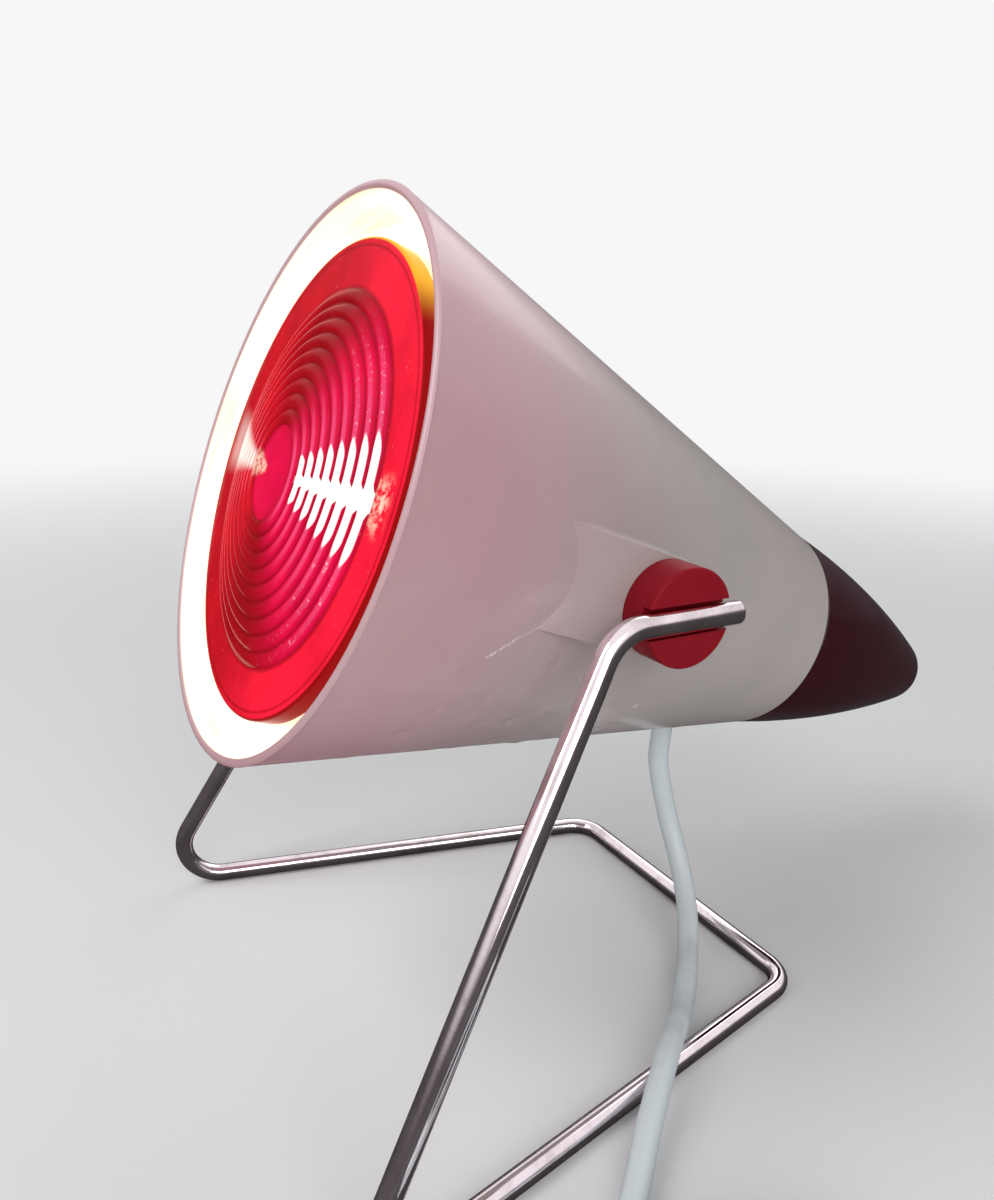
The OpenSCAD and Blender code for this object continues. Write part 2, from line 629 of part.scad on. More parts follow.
module filament_supports() {
    foot_z = lens_z - reflector_len + 6;
    color("gray") in_head() for (a = [-60, 240]) rotate([0, 0, a])
        translate([filament_r, 0, foot_z]) cylinder(r = 0.8, h = filament_z - foot_z - 0.72, $fn = 24);
}

// ---- Cord and plug ----

module cord() {
    color("whitesmoke") swept_wire(spline(CORD_ROUTE, 2), cord_r, [1, 0, 0], 10);
}

module cord_coil() {
    w = coil_wide * cord_d;
    h = coil_high * cord_d;
    color("whitesmoke") translate([COIL_CENTRE.x, COIL_CENTRE.y, 0]) rotate_extrude()
        translate([coil_r - w / 2, 0]) union() {
            translate([cord_r, 0]) square([w - cord_d, h]);
            translate([0, cord_r]) square([w, h - cord_d]);
            for (x = [cord_r, w - cord_r]) for (z = [cord_r, h - cord_r]) translate([x, z]) circle(r = cord_r, $fn = 24);
        }
}

module cord_tail() {
    color("whitesmoke") swept_wire(spline(TAIL_ROUTE, 2), cord_r, [0, 0, 1], 10);
}

module cord_tie() {
    w = coil_wide * cord_d;
    h = coil_high * cord_d;
    color("gray") translate([COIL_CENTRE.x, COIL_CENTRE.y, 0]) rotate([0, 0, 120])
        translate([coil_r - w / 2 - tie_t, -tie_w / 2, 0]) difference() {
            cube([w + 2 * tie_t, tie_w, h + tie_t]);
            translate([tie_t, -1, tie_t]) cube([w, tie_w + 2, h - tie_t]);
        }
}

module plug_boot() {
    color("white") translate([plug_seat.x, plug_seat.y, plug_seat.z]) rotate([-90, 0, 0]) union() {
        cylinder(r1 = cord_r + 0.8, r2 = plug_t / 2 - 1, h = boot_len - 4);
        translate([0, 0, boot_len - 4]) cylinder(r = plug_t / 2 - 1, h = 4);
    }
}

module plug_body() {
    face_y = plug_seat.y + boot_len + plug_len;
    edge = plug_t / 2;
    color("white") difference() {
        hull() {
            for (x = [-1, 1]) translate([plug_seat.x + x * (plug_w / 2 - edge), face_y - 18, plug_seat.z])
                rotate([-90, 0, 0]) cylinder(r = edge, h = 18, $fn = 32);
            translate([plug_seat.x, face_y - plug_len, plug_seat.z])
                rotate([-90, 0, 0]) cylinder(r = edge - 0.5, h = 6, $fn = 32);
        }
        for (x = [-1, 1]) translate([plug_seat.x + x * pin_pitch / 2, face_y - pin_root, plug_seat.z])
            rotate([-90, 0, 0]) cylinder(r = pin_root_d / 2 + lap, h = pin_root + 1);
    }
}

module plug_pin(side) {
    face_y = plug_seat.y + boot_len + plug_len;
    color("silver") translate([plug_seat.x + side * pin_pitch / 2, face_y, plug_seat.z])
        rotate([-90, 0, 0]) union() {
            translate([0, 0, -pin_root]) cylinder(d = pin_root_d, h = pin_root);
            cylinder(d = pin_d, h = pin_len - pin_chamfer);
            translate([0, 0, pin_len - pin_chamfer])
                cylinder(d1 = pin_d, d2 = pin_d - 1.6 * pin_chamfer, h = pin_chamfer);
        }
}

wire_stand();
knob(1);  // knob_right
friction_washer(1);  // friction_washer_right
disc_spring(1);  // disc_spring_right
retaining_washer(1);  // retaining_washer_right
pivot_screw(1);  // pivot_screw_right
knob(-1);  // knob_left
friction_washer(-1);  // friction_washer_left
disc_spring(-1);  // disc_spring_left
retaining_washer(-1);  // retaining_washer_left
pivot_screw(-1);  // pivot_screw_left
shade();
rear_cap();
lamp_holder();
screw_sleeve();
centre_contact();
holder_bracket();
bracket_screws();
holder_screws();
terminal_screws();
color("saddlebrown") lead(1);  // lead_live
color("royalblue") lead(-1);  // lead_neutral
cord_bush();
cord_inner_end();
cord_clamp();
clamp_screws();
bulb_lens();
bulb_reflector();
bulb_screw_shell();
bulb_insulator();
bulb_contact();
bulb_filament();
filament_supports();
cord();
cord_coil();
cord_tail();
cord_tie();
plug_boot();
plug_body();
plug_pin(1);  // plug_pin_live
plug_pin(-1);  // plug_pin_neutral
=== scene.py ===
import json

import bmesh
import bpy
import numpy as np
from mathutils import Matrix


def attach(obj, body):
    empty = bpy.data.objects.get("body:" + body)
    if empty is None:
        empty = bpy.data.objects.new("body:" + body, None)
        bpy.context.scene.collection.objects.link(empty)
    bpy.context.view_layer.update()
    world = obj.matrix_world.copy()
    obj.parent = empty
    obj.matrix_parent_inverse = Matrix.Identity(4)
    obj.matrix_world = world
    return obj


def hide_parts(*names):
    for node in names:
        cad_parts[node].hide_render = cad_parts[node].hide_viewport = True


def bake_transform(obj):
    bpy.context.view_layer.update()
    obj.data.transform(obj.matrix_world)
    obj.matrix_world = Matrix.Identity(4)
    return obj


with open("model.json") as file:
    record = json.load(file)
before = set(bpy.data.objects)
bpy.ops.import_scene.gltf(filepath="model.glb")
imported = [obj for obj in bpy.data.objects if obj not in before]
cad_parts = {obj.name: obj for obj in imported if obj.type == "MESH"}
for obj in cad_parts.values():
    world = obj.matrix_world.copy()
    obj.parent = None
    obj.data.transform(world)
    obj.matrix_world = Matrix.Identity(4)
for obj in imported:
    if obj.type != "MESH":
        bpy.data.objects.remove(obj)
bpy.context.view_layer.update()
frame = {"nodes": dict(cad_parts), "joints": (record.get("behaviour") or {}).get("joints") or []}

nodes = frame["nodes"]
joints = {joint["name"]: joint for joint in frame["joints"]}

# ---- Camera ----
# It stands close on the lamp's near side and a little above the pivot, and is held almost level. The
# rising front of the photograph is a small vertical shift.
camera_place = (0.2388, -0.1838, 0.2011)
camera_azimuth, camera_elevation, camera_roll = np.radians((60.38, 19.53, 1.02))
camera_lens = 29.59
photo_height = 1200
optical_axis_row = 662.5

back = np.array((np.sin(camera_azimuth) * np.cos(camera_elevation),
                 -np.cos(camera_azimuth) * np.cos(camera_elevation), np.sin(camera_elevation)))
level = np.array((np.cos(camera_azimuth), np.sin(camera_azimuth), 0))
upright = np.cross(back, level)
camera_right = level * np.cos(camera_roll) + upright * np.sin(camera_roll)
camera_up = upright * np.cos(camera_roll) - level * np.sin(camera_roll)
camera_data = bpy.data.cameras.new("camera")
camera_data.lens = camera_lens
camera_data.shift_y = (optical_axis_row - photo_height / 2) / photo_height
camera_data.clip_start = 0.01
camera = bpy.data.objects.new("camera", camera_data)
camera.matrix_world = Matrix(np.vstack((np.column_stack((camera_right, camera_up, back, camera_place)),
                                        (0, 0, 0, 1))).tolist())
bpy.context.scene.collection.objects.link(camera)
bpy.context.scene.camera = camera
bpy.context.scene.view_settings.view_transform = "Standard"


# ---- Floor, background and light ----
# A pale floor that runs out into an even pale background, a large soft lamp in front and above, one on
# the near side, a weaker one behind, and an even light all round. Polished faces mirror a darker floor
# and wall, as black cards give them in a studio, so that chrome and glass keep their contrast.
class Finish:
    """A procedural material: one Principled shader and the pattern nodes that feed its sockets."""

    def __init__(self, name, colour=(0.8, 0.8, 0.8), roughness=0.5, **sockets):
        self.material = bpy.data.materials.new(name)
        self.material.use_nodes = True
        self.tree = self.material.node_tree
        self.shader = self.tree.nodes["Principled BSDF"]
        self.set(self.shader, {"Base Color": colour, "Roughness": roughness,
                               **{key.replace("_", " "): value for key, value in sockets.items()}})

    def set(self, node, values):
        """Gives each named or numbered socket a value, or links another node's output to it."""
        for key, value in values.items():
            socket = node.inputs[key]
            if isinstance(value, bpy.types.NodeSocket):
                self.tree.links.new(value, socket)
            elif socket.type == "RGBA" and len(value) == 3:
                socket.default_value = (*value, 1)
            else:
                socket.default_value = value
        return node

    def add(self, kind, values=(), **settings):
        node = self.tree.nodes.new("ShaderNode" + kind)
        for key, value in settings.items():
            setattr(node, key, value)
        return self.set(node, dict(values))

    def place(self):
        """The point of the surface in the lamp's own frame, in metres."""
        return self.add("TexCoord").outputs["Object"]

    def noise(self, scale, detail=2, rough=0.5, at=None, stretch=None):
        at = at or self.place()
        if stretch:
            at = self.add("Mapping", {"Vector": at, "Scale": stretch}).outputs[0]
        return self.add("TexNoise", {"Vector": at, "Scale": scale, "Detail": detail,
                                     "Roughness": rough}).outputs[0]

    def math(self, operation, a, b=0.0):
        return self.add("Math", {0: a, 1: b}, operation=operation).outputs[0]

    def times(self, product, *factors):
        for factor in factors:
            product = self.math("MULTIPLY", product, factor)
        return product

    def apart(self, value, other):
        """How far value is from the other, either way."""
        return self.math("ABSOLUTE", self.math("SUBTRACT", value, other))

    def fade(self, value, start, end, low=0.0, high=1.0):
        """Turns value from low to high, smoothly, as it goes from start to end."""
        return self.add("MapRange", {"Value": value, "From Min": start, "From Max": end, "To Min": low,
                                     "To Max": high}, interpolation_type="SMOOTHSTEP").outputs[0]

    def between(self, value, start, full, ebb, end):
        """1 where value lies from full to ebb, falling smoothly to 0 at start and at end."""
        return self.times(self.fade(value, start, full), self.fade(value, end, ebb))

    def mix(self, share, a, b, blend="MIX"):
        """The colour a where share is 0, and b where it is 1."""
        node = self.add("Mix", data_type="RGBA", blend_type=blend)
        self.set(node, {0: share, 6: a, 7: b})
        return node.outputs[2]

    def bump(self, height, depth, strength=1.0):
        """Tilts the surface as if height, from 0 to 1, were depth metres."""
        node = self.add("Bump", {"Height": height, "Distance": depth, "Strength": strength})
        if self.shader.inputs["Normal"].links:
            self.set(node, {"Normal": self.shader.inputs["Normal"].links[0].from_socket})
        self.set(self.shader, {"Normal": node.outputs[0]})


floor_r = 4.0
floor_colour = (0.84, 0.84, 0.84)
background = (0.93, 0.93, 0.93)
overhead = (0.42, 0.43, 0.45)
ambient = 0.5
mirrored_floor, mirrored_wall = (0.07, 0.065, 0.065), (0.10, 0.09, 0.095)
mirrored_ceiling = (0.95, 0.92, 0.95)
# Each lamp's place and width in metres and its power in watts. It is aimed at the origin.
soft_lamps = {"front_lamp": ((-0.15, -1.3, 1.35), 1.1, 15),
              "side_lamp": ((1.45, -0.35, 0.95), 1.2, 11.5),
              "back_lamp": ((-0.9, 1.1, 1.3), 1.2, 5)}

turn = np.linspace(0, 2 * np.pi, 96, endpoint=False)
floor_mesh = bpy.data.meshes.new("floor")
floor_mesh.from_pydata(np.column_stack((floor_r * np.cos(turn), floor_r * np.sin(turn), 0 * turn)).tolist(),
                       [], [list(range(len(turn)))])
floor = bpy.data.objects.new("floor", floor_mesh)
bpy.context.scene.collection.objects.link(floor)


def seen_directly(finish_or_world):
    """1 for rays from the camera and through glass, and 0 for rays that only carry light."""
    path = finish_or_world.add("LightPath").outputs
    return finish_or_world.math("MAXIMUM", path["Is Camera Ray"], path["Is Transmission Ray"])


def mirrored(finish_or_world):
    """1 for rays that left a polished surface."""
    return finish_or_world.add("LightPath").outputs["Is Glossy Ray"]


paper = Finish("floor_paper", floor_colour, 0.9, Specular_IOR_Level=0.1)
paper.set(paper.shader, {"Base Color": paper.mix(mirrored(paper), floor_colour, mirrored_floor)})
distance = paper.add("VectorMath", {0: paper.place()}, operation="LENGTH").outputs["Value"]
far = paper.times(paper.fade(distance, 0.35, 1.3), seen_directly(paper))
horizon = paper.add("Emission", {"Color": background, "Strength": 1.0})
run_out = paper.add("MixShader", {0: far, 1: paper.shader.outputs[0], 2: horizon.outputs[0]})
paper.set(paper.tree.nodes["Material Output"], {"Surface": run_out.outputs[0]})
floor_mesh.materials.append(paper.material)


class Surround(Finish):
    """The world's own node tree, filled in the same way as a material's."""

    def __init__(self, world):
        world.use_nodes = True
        self.tree = world.node_tree


bpy.context.scene.world = bpy.data.worlds.new("soft_room")
room = Surround(bpy.context.scene.world)
height = room.add("SeparateXYZ", {0: room.add("TexCoord").outputs["Generated"]}).outputs["Z"]
sky = room.mix(room.fade(height, 0.25, 0.75), background, overhead)
mirrored_sky = room.mix(room.fade(height, 0.12, 0.42), mirrored_wall, mirrored_ceiling)
unlit = room.math("MAXIMUM", seen_directly(room), mirrored(room))
room.set(room.tree.nodes["Background"], {
    "Color": room.mix(mirrored(room), sky, mirrored_sky), "Strength": room.math("MAXIMUM", unlit, ambient)})

for name, (place, size, power) in soft_lamps.items():
    lamp = bpy.data.objects.new(name, bpy.data.lights.new(name, "AREA"))
    lamp.data.size, lamp.data.energy = size, power
    lamp.location = place
    lamp.rotation_euler = lamp.location.to_track_quat("Z", "Y").to_euler()
    bpy.context.scene.collection.objects.link(lamp)


# ---- Wire stand ----
# One length of 6 mm steel wire, bent cold into a floor loop that is open at the front and two arms,
# and chrome plated. Its square-cut ends spring into the slots of the knobs and carry the head.
wire_r = 0.003
knob_face_x = 0.071
arm_bend_reach, tip_reach = 0.021, 0.0144
front_half_w, front_reach = 0.094, 0.0985
rear_half_w, rear_reach = 0.057, 0.065
arm_bend_r, front_bend_r, rear_bend_r = 0.013, 0.013, 0.011
cut_edge_r, cut_edge_share = 0.0006, 0.3
pivot = np.array(joints["head_tilt"]["pos_m"])


def unit(vectors):
    return vectors / np.linalg.norm(vectors, axis=-1, keepdims=True)


def bent_line(corners, radii, steps=24):
    """The centre line of a wire bent at each inner corner: straight runs joined by round arcs. The arc
    at a corner lies on a circle that touches both runs, so its centre is on the line that halves the
    angle, radius / sin(half angle) from the corner."""
    pieces = [corners[:1]]
    for before, corner, after, radius in zip(corners[:-2], corners[1:-1], corners[2:], radii):
        inward, onward = unit(before - corner), unit(after - corner)
        half = np.arccos(inward @ onward) / 2
        centre = corner + unit(inward + onward) * radius / np.sin(half)
        start = unit(corner + inward * radius / np.tan(half) - centre)
        angle = np.linspace(0, np.pi - 2 * half, steps)[:, None]
        pieces.append(centre + radius * (start * np.cos(angle) - inward * np.sin(angle)))
    return np.concatenate(pieces + [corners[-1:]])


def tube(line, radii, sides, aside):
    """A round tube along a line: a circle of the given radius about each point, square to the line.
    aside is a direction that the line never takes, and the circles start from it, so that none is
    twisted against the next. The ends are drawn to their middle points and so are closed."""
    along = unit(np.gradient(line, axis=0))
    across = unit(np.cross(along, aside))
    angle = np.linspace(0, 2 * np.pi, sides, endpoint=False)[:, None]
    circle = across[:, None] * np.cos(angle) + np.cross(along, across)[:, None] * np.sin(angle)
    rings = line[:, None] + np.asarray(radii)[:, None, None] * circle
    return np.concatenate((np.broadcast_to(line[:1, None], rings[:1].shape), rings,
                           np.broadcast_to(line[-1:, None], rings[:1].shape)))


def skin(name, grid, wrap_rows=False, sharp=40):
    """A closed mesh piece over a grid of points: rows by columns, with the last column joined to the
    first, and the last row too where wrap_rows says so. Points that coincide, as at a pole, are
    merged, and the faces are turned outwards."""
    rows, columns = grid.shape[:2]
    corner = np.arange(rows * columns).reshape(rows, columns)
    below = corner if wrap_rows else corner[:-1]
    above = np.roll(corner, -1, 0) if wrap_rows else corner[1:]
    quads = np.stack((below, np.roll(below, -1, 1), np.roll(above, -1, 1), above), -1).reshape(-1, 4)
    mesh = bpy.data.meshes.new(name)
    mesh.from_pydata(grid.reshape(-1, 3).tolist(), [], quads.tolist())
    return finished_mesh(name, mesh, sharp)


def finished_mesh(name, mesh, sharp):
    """Merges the doubles of a mesh, turns its faces outwards and smooths all but its sharp edges."""
    work = bmesh.new()
    work.from_mesh(mesh)
    bmesh.ops.remove_doubles(work, verts=work.verts, dist=1e-7)
    bmesh.ops.recalc_face_normals(work, faces=work.faces)
    work.to_mesh(mesh)
    work.free()
    mesh.shade_smooth()
    mesh.set_sharp_from_angle(angle=np.radians(sharp))
    piece = bpy.data.objects.new(name, mesh)
    bpy.context.scene.collection.objects.link(piece)
    return piece


def place_piece(piece, body, slot, finish, *replaced):
    """The piece rides on a body, takes its finish and stands for the CAD nodes named."""
    piece.data.materials.append(finish.material)
    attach(piece, body)
    if replaced:
        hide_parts(*replaced)


# The chrome's pink tint is a painted reflection of the bulb's red light; its darker patches are wear.
chrome = Finish("chrome_wire", (0.86, 0.77, 0.79), 0.1, Metallic=1.0)
worn = chrome.noise(60, 6, 0.6)
chrome.set(chrome.shader, {"Roughness": chrome.fade(worn, 0.3, 0.75, 0.05, 0.15),
                           "Base Color": chrome.mix(chrome.fade(worn, 0.45, 0.7), (0.92, 0.83, 0.86),
                                                    (0.62, 0.55, 0.54))})
chrome.bump(chrome.noise(900, 3), 0.00001, 0.6)

right_half = np.array(((knob_face_x, tip_reach, 0), (knob_face_x, -arm_bend_reach, 0),
                       (front_half_w, -front_reach, wire_r - pivot[2]),
                       (rear_half_w, rear_reach, wire_r - pivot[2])))
corners = pivot + np.concatenate((right_half, right_half[::-1] * (-1, 1, 1)))
bends = [arm_bend_r, front_bend_r, rear_bend_r]
wire_line = bent_line(corners, bends + bends[::-1])
cut_back = np.array((0, cut_edge_r, 0))
right_end, left_end = wire_line[:1], wire_line[-1:]
wire_line = np.concatenate((
    right_end, right_end - cut_edge_share * cut_back, right_end - cut_back, wire_line[1:-1],
    left_end - cut_back, left_end - cut_edge_share * cut_back, left_end))
wire_radii = np.full(len(wire_line), wire_r)
wire_radii[[0, -1]] -= cut_edge_r
wire_radii[[1, -2]] -= cut_edge_share * cut_edge_r
wire_stand = skin("chrome_wire_stand", tube(wire_line, wire_radii, 40, (0.8, 0, 0.6)))
place_piece(wire_stand, "stand", "chrome_wire", chrome, "wire_stand")


# ---- Mains cord ----
# A round PVC-sheathed lead, 6.8 mm thick and 1.7 m long. It leaves the shade through a bush, hangs to
# the table, passes over the floor wire and ends in a neat coil of five turns.
cord_d = 0.0068
hanging_route = np.array((
    (0, 16.7, 72.1), (0, 16.1, 66), (0, 15.9, 58), (1.5, 17.5, 47), (4, 19, 37), (9, 19.3, 27.5),
    (16, 17.5, 19), (24.5, 13.2, 12), (34, 6, 6.8), (44, -2.7, 4.6), (53.5, -12.2, 5.2), (62.2, -21.6, 8.1),
    (70.3, -31, 9.9), (79, -41, 9.2), (88, -51.4, 6.8), (98, -62.2, 4.4), (108, -73, 3.4),
    (117, -83, 3.4), (126, -92.8, 3.4), (133.8, -101.2, 3.4))) / 1000
tail_route = np.array((
    (142, -108.7, 10.2), (150.5, -114.8, 10.2), (160.5, -119.9, 9.6), (171, -122.9, 8.1),
    (182, -123.3, 5.8), (193, -119.8, 4.2), (203, -113.4, 3.5), (212, -104.6, 3.4), (219.4, -92.4, 3.4),
    (223.6, -79.6, 3.4), (224.2, -67, 3.7), (222.4, -55.6, 4.4), (219.9, -45.8, 5.5), (218.2, -37.6, 6.4),
    (217.6, -30, 6.85))) / 1000
coil_centre = np.array((0.1695, -0.0698))
coil_r = 0.0408
whole_turns = 5
crossing_turn = 0.3
cord_sides = 16
route_steps = 6


def eased(t):
    t = np.clip(t, 0, 1)
    return t * t * (3 - 2 * t)


def smooth_line(points, steps):
    """A smooth curve through the points: between each two a cubic whose slope at a point is half the
    way from the point before it to the point after it."""
    ends = np.concatenate((points[:1], points, points[-1:]))
    a, b, c, d = (ends[i:len(ends) - 3 + i, None] for i in range(4))
    t = np.linspace(0, 1, steps, endpoint=False)[:, None]
    curve = (2 * b + (c - a) * t + (2 * a - 5 * b + 4 * c - d) * t ** 2
             + (3 * b - a - 3 * c + d) * t ** 3) / 2
    return np.concatenate((curve.reshape(-1, 3), points[-1:]))


def coil_line(start, end, steps=72):
    """The coil's turns from start to end: an angle that grows evenly, a radius that steps in by one
    cord twice on the table and out again twice on top, and one climb between the two layers."""
    first, last = (np.arctan2(*(p[:2] - coil_centre)[::-1]) for p in (start, end))
    turns = whole_turns + (last - first) / (2 * np.pi) % 1
    done = np.linspace(0, turns, int(turns * steps))

    def stepped(at):
        return eased((done - at) / crossing_turn)

    radius = coil_r + cord_d * (1 - stepped(0.7) - stepped(1.7) + stepped(3.1) + stepped(4.1))
    z = cord_d / 2 + cord_d * stepped(2.4)
    angle = first + 2 * np.pi * done
    spoke = np.column_stack((np.cos(angle), np.sin(angle)))
    return np.column_stack((coil_centre + radius[:, None] * spoke, z))


cord_line = np.concatenate((smooth_line(hanging_route, route_steps)[:-1],
                            coil_line(hanging_route[-1], tail_route[0])[:-1],
                            smooth_line(tail_route, route_steps)))
cord_white = Finish("cord_sheath", (0.68, 0.75, 0.78), 0.42, Coat_Weight=0.15, Coat_Roughness=0.3)
handled = cord_white.noise(45, 4, 0.6)
cord_white.set(cord_white.shader, {
    "Base Color": cord_white.mix(cord_white.fade(handled, 0.45, 0.75), (0.70, 0.77, 0.80),
                                 (0.60, 0.64, 0.65)),
    "Roughness": cord_white.fade(handled, 0.3, 0.7, 0.34, 0.55)})
cord_white.bump(cord_white.noise(420, 3), 0.00006, 0.5)

cord = skin("mains_cord", tube(cord_line, np.full(len(cord_line), cord_d / 2), cord_sides, (0.5, 0.5, 0.7)))
cord.data.materials.append(cord_white.material)
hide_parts("cord", "cord_coil", "cord_tail")
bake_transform(cord)


# ---- Cord tie, boot and plug ----
# A soft strap holds the coil. The moulded plug is flat, with two round pins and a ribbed boot that
# keeps the cord from kinking where it enters.
boot_length, boot_ribs = 0.028, 7
boot_neck_r, boot_end_r, rib_h = 0.0041, 0.00585, 0.0004


def turned(profile, sides=96, start=(0, 0, 0), axis=(0, 0, 1), zero=(1, 0, 0)):
    """A surface of turning: each profile point, a radius and a distance along the axis, is carried
    once round the axis that leaves start."""
    axis, zero = np.array(axis, float), np.array(zero, float)
    angle = np.linspace(0, 2 * np.pi, sides, endpoint=False)[:, None]
    spoke = zero * np.cos(angle) + np.cross(axis, zero) * np.sin(angle)
    radius, along = np.asarray(profile, float).T[:, :, None, None]
    return np.array(start) + radius * spoke + along * axis


def softened(node, name, edge, sharp=32, segments=3):
    """A copy of a CAD piece with its loose triangles merged, its flat faces made whole and its edges
    rounded by edge metres."""
    work = bmesh.new()
    work.from_mesh(nodes[node].data)
    bmesh.ops.remove_doubles(work, verts=work.verts, dist=1e-6)
    bmesh.ops.dissolve_limit(work, angle_limit=np.radians(0.5), verts=work.verts, edges=work.edges)
    mesh = bpy.data.meshes.new(name)
    work.to_mesh(mesh)
    work.free()
    piece = finished_mesh(name, mesh, sharp)
    rounding = piece.modifiers.new("rounded_edges", "BEVEL")
    rounding.width, rounding.segments = edge, segments
    rounding.limit_method, rounding.angle_limit = "ANGLE", np.radians(sharp)
    rounding.harden_normals = True
    return piece


plug_white = Finish("plug_plastic", (0.60, 0.66, 0.69), 0.38)
plug_white.bump(plug_white.noise(700, 3), 0.00005, 0.4)
strap_grey = Finish("strap", (0.10, 0.10, 0.105), 0.75)
weave = strap_grey.add("TexWave", {"Vector": strap_grey.place(), "Scale": 520.0}, wave_type="BANDS")
strap_grey.bump(weave.outputs[1], 0.0001, 0.8)
nickel = Finish("nickel", (0.66, 0.62, 0.54), 0.22, Metallic=1.0)
nickel.bump(nickel.noise(1500, 2), 0.00001, 0.5)

along_boot = np.linspace(0, 1, boot_ribs * 16 + 1)
rib = rib_h * np.cos(2 * np.pi * boot_ribs * along_boot) * np.minimum(1, 8 * (1 - along_boot))
boot_r = boot_neck_r + (boot_end_r - boot_neck_r) * along_boot - rib_h + rib
boot_profile = np.column_stack((boot_r, along_boot * boot_length))
boot_profile = np.concatenate(([(0, 0)], boot_profile, [(0, boot_length)]))
plug_boot = skin("plug_boot_ribbed", turned(boot_profile, 48, tail_route[-1], (0, 1, 0)))
place_piece(plug_boot, "stand", "plug_white", plug_white, "plug_boot")
plug_body = softened("plug_body", "plug_body_moulded", 0.0008)
place_piece(plug_body, "stand", "plug_white", plug_white, "plug_body")
cord_tie = softened("cord_tie", "cord_tie_strap", 0.0003)
place_piece(cord_tie, "stand", "clamp_grey", strap_grey, "cord_tie")


def dress(finish, *names):
    """Gives CAD nodes whose shape stays their finish."""
    for name in names:
        nodes[name].data.materials.clear()
        nodes[name].data.materials.append(finish.material)


dress(nickel, "plug_pin_live", "plug_pin_neutral")


# ---- Shade ----
# A cone moulded in off-white plastic, 2.4 mm thick, with a rounded rim. A flat pad on each side, round
# behind and running out forward into the cone, carries the pivot, and an inner flange behind the bulb
# carries the lamp holder. The lit bulb's glow on the inner wall and through it is painted.
mouth_r, mouth_reach = 0.0723, 0.0784
joint_r, joint_reach = 0.0342, 0.0912
shade_wall = 0.0024
neck_r, neck_wall, neck_length = 0.0314, 0.0022, 0.008
flange_r, flange_reach, flange_t = 0.0234, 0.0843, 0.0025
boss_r, boss_inner_x, boss_bore_r = 0.01275, 0.0485, 0.00505
pad_x, pad_overrun, pad_edge_r, pad_fillet_r = 0.061, 0.002, 0.0005, 0.0012
pad_tuck, pad_foot_depth, pad_root_depth, boss_root_depth = 0.001, 0.0006, 0.0018, 0.002
shade_sides, shade_rows = 288, 150
forward = np.array(joints["bulb_release"]["axis"], float)
sideways = np.array((1.0, 0, 0))
upward = np.cross(forward, sideways)
shade_slope = np.arctan((mouth_r - joint_r) / (mouth_reach + joint_reach))
shade_skin = shade_wall / np.cos(shade_slope)


def in_head(points):
    """Points in the head's frame, across, up and towards the mouth from the pivot, as points of the
    lamp's frame."""
    return pivot + points @ np.array((sideways, upward, forward))


def cone_r(z):
    """The shade's outer radius at a distance z in front of the pivot."""
    return mouth_r - (mouth_reach - z) * np.tan(shade_slope)


def arc(centre, radius, first, last, steps):
    angle = np.radians(np.linspace(first, last, steps))
    return np.column_stack((centre[0] + radius * np.cos(angle), centre[1] + radius * np.sin(angle)))


rim_r = shade_skin / 2
rim_z = mouth_reach - rim_r
outer_z = np.linspace(-joint_reach, rim_z, shade_rows)
inner_z = np.linspace(rim_z, -flange_reach, 48)
neck_in = neck_r - neck_wall
shade_profile = np.concatenate((
    np.column_stack((cone_r(outer_z), outer_z)),
    arc((mouth_r - rim_r, rim_z), rim_r, 0, 180, 9)[1:-1],
    np.column_stack((cone_r(inner_z) - shade_skin, inner_z)),
    [(flange_r, -flange_reach), (flange_r, -flange_reach - flange_t), (neck_in, -flange_reach - flange_t),
     (neck_in, -joint_reach - neck_length), (neck_r, -joint_reach - neck_length), (neck_r, -joint_reach)]))
shade_grid = turned(shade_profile, shade_sides)

# Small sinks and pimples of the moulding, which crowd on the lower near side.
random = np.random.default_rng(7)
marks = 130
mark_z = random.uniform(-0.02, 0.06, marks)
mark_angle = np.radians(random.normal(-52, 24, marks))
mark_r = random.uniform(0.0009, 0.0021, marks)
mark_depth = random.uniform(-0.0006, 0.0004, marks)
outer = shade_grid[:shade_rows]
mark_out = cone_r(mark_z)
mark_at = np.column_stack((mark_out * np.cos(mark_angle), mark_out * np.sin(mark_angle), mark_z))
for centre, spread, depth in zip(mark_at, mark_r, mark_depth):
    away = np.sum((outer - centre) ** 2, -1) / spread ** 2
    outer[..., :2] += (depth * np.exp(-away))[..., None] * unit(outer[..., :2])
shade = skin("shade_moulding", in_head(shade_grid), wrap_rows=True)

# The pad's straight sides end where its corners dip under the cone.
pad_end = mouth_reach - (mouth_r - np.hypot(pad_x, boss_r)) / np.tan(shade_slope) + pad_overrun


